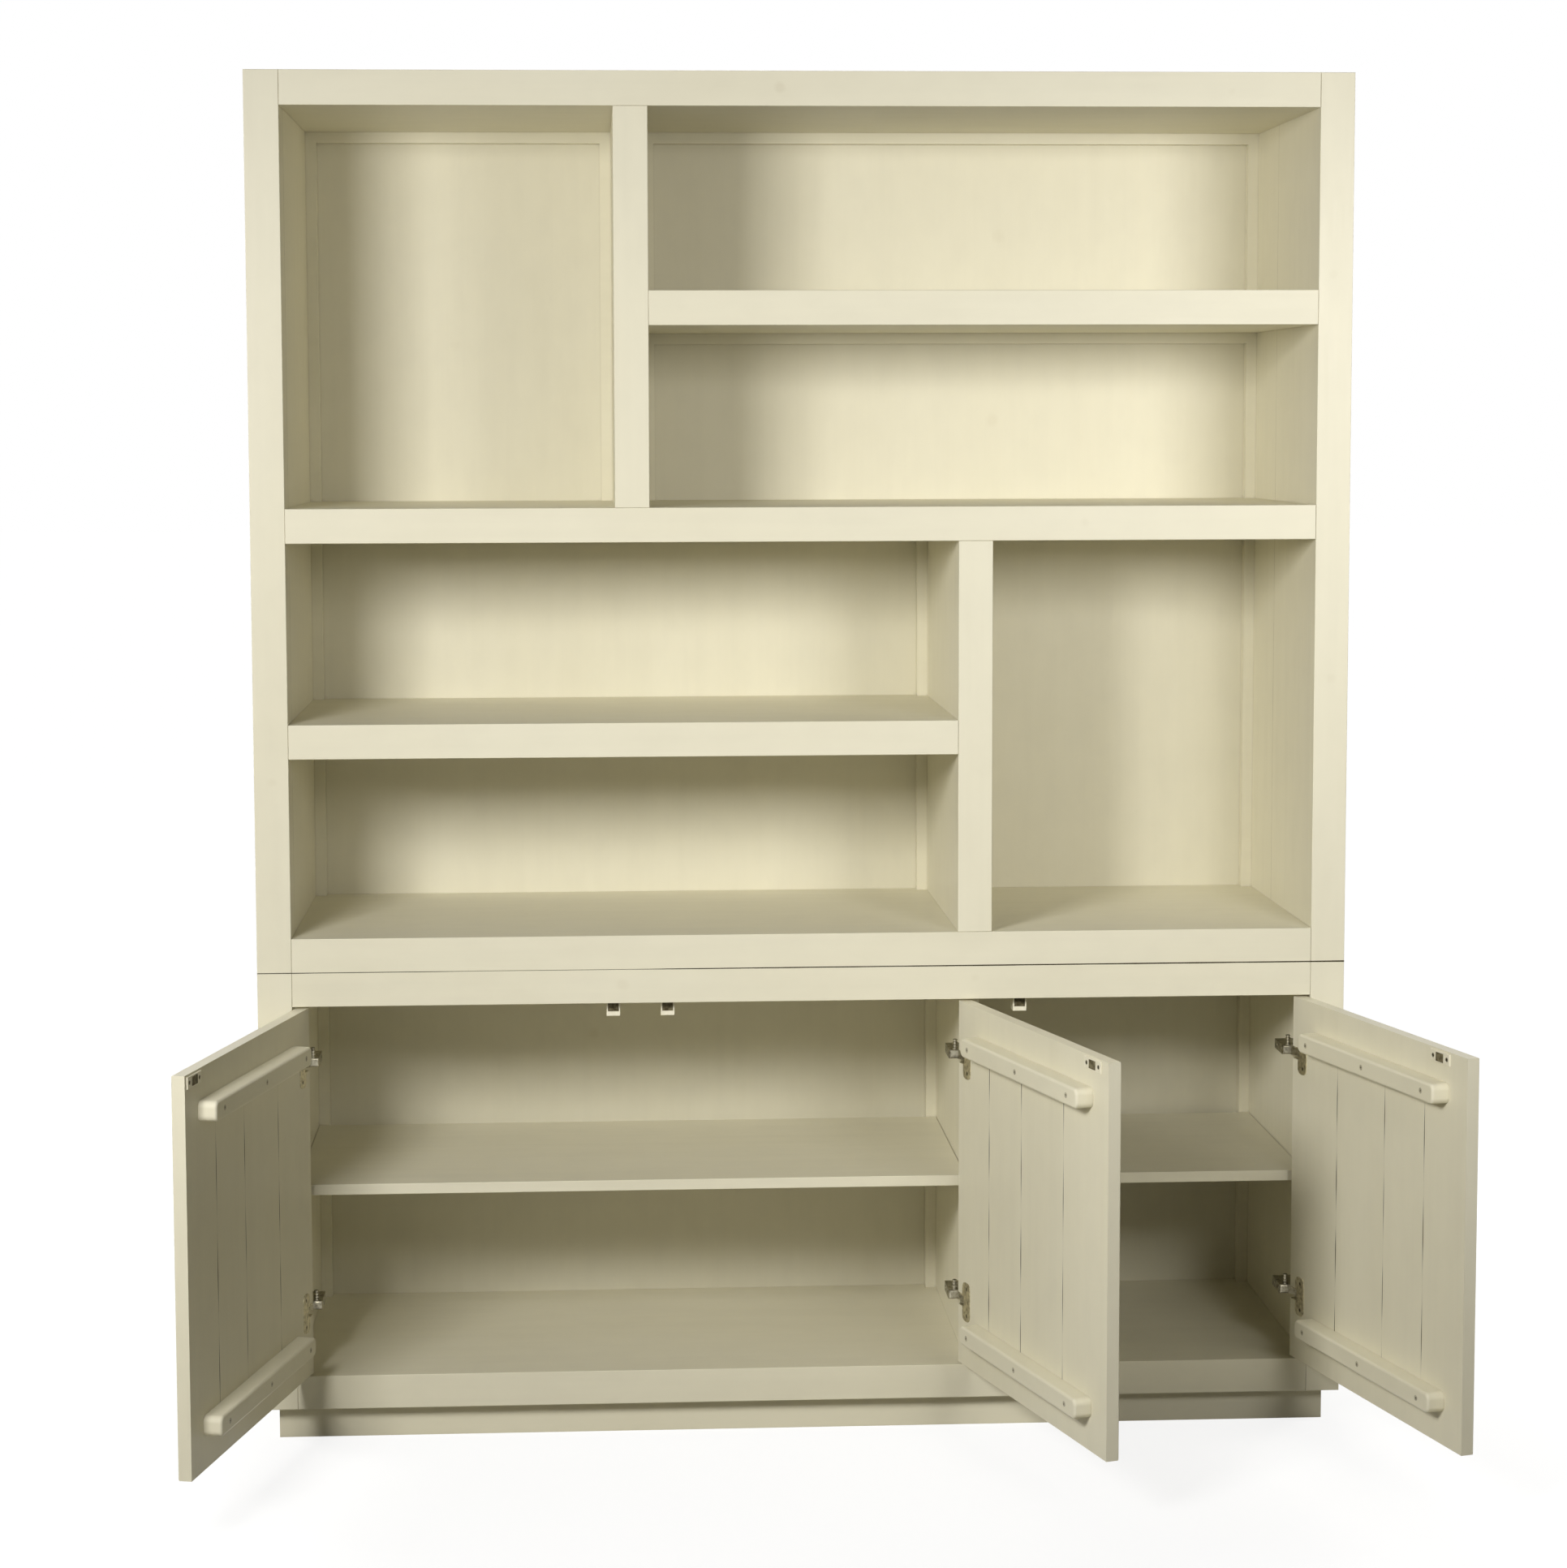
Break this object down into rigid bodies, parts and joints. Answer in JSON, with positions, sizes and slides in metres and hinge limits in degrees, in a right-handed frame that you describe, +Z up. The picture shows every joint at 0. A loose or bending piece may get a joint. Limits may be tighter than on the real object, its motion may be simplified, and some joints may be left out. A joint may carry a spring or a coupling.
{
  "type": "bookcase",
  "caption": "Painted plank bookcase in two stacked units: open offset compartments above, doors on inset hinges below.",
  "frame": {"origin": "on the floor at the middle of the cabinet's footprint, under the plinth brace", "axes": "+Z up, +X to the right seen from the front, +Y towards the back; the doors face -Y"},
  "size_m": [1.7382, 0.9226, 2],
  "materials": {
    "painted_wood": "cream satin paint over solid boards",
    "painted_panel": "cream satin paint over thin board",
    "bare_wood": "bare beech",
    "hinge_steel": "nickel-plated sheet",
    "screw_steel": "dulled zinc",
    "catch_plastic": "moulded cream",
    "dark_iron": "dark, dull"
  },
  "bodies": {
    "carcass": {"hutch_left_side": "painted_wood", "hutch_right_side": "painted_wood", "hutch_top": "painted_wood", "hutch_bottom": "painted_wood", "hutch_middle_shelf": "painted_wood", "hutch_upper_divider": "painted_wood", "hutch_lower_divider": "painted_wood", "hutch_upper_right_shelf": "painted_wood", "hutch_lower_left_shelf": "painted_wood", "hutch_back_panel": "painted_panel", "base_left_side": "painted_wood", "base_right_side": "painted_wood", "base_top": "painted_wood", "base_bottom": "painted_wood", "base_partition": "painted_wood", "base_left_shelf": "painted_wood", "base_right_shelf": "painted_wood", "base_back_panel": "painted_panel", "plinth_front": "painted_wood", "plinth_back": "painted_wood", "plinth_ends": "painted_wood", "plinth_brace": "painted_wood", "back_laths": "painted_wood", "dowels": "bare_wood", "shelf_pins": "screw_steel", "back_panel_screws": "screw_steel", "hinge_arms": "hinge_steel", "catch_housings": "catch_plastic", "catch_magnets": "dark_iron", "cabinet_screws": "screw_steel"},
    "left_door": {"left_door_plank_1": "painted_wood", "left_door_plank_2": "painted_wood", "left_door_plank_3": "painted_wood", "left_door_plank_4": "painted_wood", "left_door_battens": "painted_wood", "left_door_hinge_cups": "hinge_steel", "left_door_catch_plate": "catch_plastic", "left_door_catch_strike": "dark_iron", "left_door_screws": "screw_steel"},
    "middle_door": {"middle_door_plank_1": "painted_wood", "middle_door_plank_2": "painted_wood", "middle_door_plank_3": "painted_wood", "middle_door_plank_4": "painted_wood", "middle_door_battens": "painted_wood", "middle_door_hinge_cups": "hinge_steel", "middle_door_catch_plate": "catch_plastic", "middle_door_catch_strike": "dark_iron", "middle_door_screws": "screw_steel"},
    "right_door": {"right_door_plank_1": "painted_wood", "right_door_plank_2": "painted_wood", "right_door_plank_3": "painted_wood", "right_door_plank_4": "painted_wood", "right_door_battens": "painted_wood", "right_door_hinge_cups": "hinge_steel", "right_door_catch_plate": "catch_plastic", "right_door_catch_strike": "dark_iron", "right_door_screws": "screw_steel"}
  },
  "joints": [
    {"name": "left_door_hinge", "type": "hinge", "parent": "carcass", "child": "left_door", "pos_m": [-0.741, -0.219, 0.375], "axis": [0, 0, -1], "range_deg": [-104, 6]},
    {"name": "right_door_hinge", "type": "hinge", "parent": "carcass", "child": "right_door", "pos_m": [0.741, -0.219, 0.375], "axis": [0, 0, 1], "range_deg": [-105, 2.9]},
    {"name": "middle_door_hinge", "type": "hinge", "parent": "carcass", "child": "middle_door", "pos_m": [0.242, -0.219, 0.375], "axis": [0, 0, 1], "range_deg": [-107, 3]}
  ],
  "couplings": [
    {"joint": "middle_door_hinge", "follows": "right_door_hinge", "ratio": 1.019}
  ]
}
